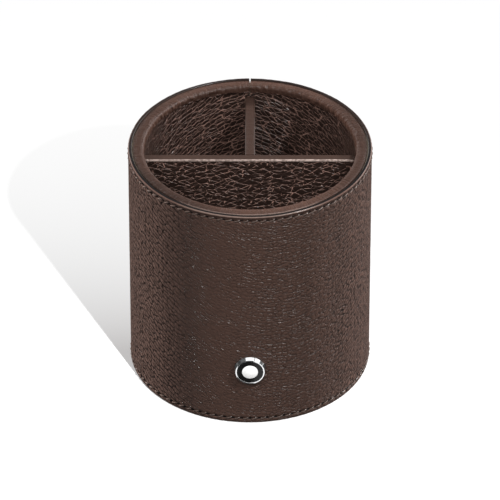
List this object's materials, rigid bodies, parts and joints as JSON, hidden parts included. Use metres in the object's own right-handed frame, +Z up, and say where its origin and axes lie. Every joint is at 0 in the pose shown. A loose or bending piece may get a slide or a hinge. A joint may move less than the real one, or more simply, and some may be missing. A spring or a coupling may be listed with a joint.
{
  "type": "pen holder",
  "caption": "Round leather-covered desk pen holder with a divided inside: one half-round and two quarter-round compartments, stitched edges and a round metal badge.",
  "frame": {"origin": "middle of the underside, on the face that rests on the desk", "axes": "+Z up along the cup's axis, -Y towards the front with the badge, +Y towards the seam at the back, +X to the right seen from the front"},
  "size_m": [0.0956, 0.0969, 0.0995],
  "materials": {
    "grained_leather": "dark brown, pebbled grain, satin",
    "lining_leather": "dark brown, deep creased grain, satin",
    "smooth_leather": "dark brown, smooth, edges stained",
    "suede": "dark brown, napped, matte",
    "thread": "brown waxed thread",
    "core_board": "dense pressed board, matte",
    "polished_metal": "mirror polished plate",
    "black_enamel": "black, glossy",
    "white_enamel": "white, glossy",
    "washer_steel": "plain zinc-plated steel"
  },
  "bodies": {
    "root": {"core_tube": "core_board", "base_board": "core_board", "base_pad": "suede", "outer_wrap": "grained_leather", "rim_band": "smooth_leather", "wall_lining": "lining_leather", "cross_board": "core_board", "cross_cover": "lining_leather", "centre_board": "core_board", "centre_cover": "lining_leather", "front_floor_pad": "suede", "rear_left_floor_pad": "suede", "rear_right_floor_pad": "suede", "top_stitching": "thread", "bottom_stitching": "thread", "badge_bezel": "polished_metal", "badge_inlay": "black_enamel", "badge_dome": "white_enamel", "badge_washer": "washer_steel"}
  },
  "joints": []
}
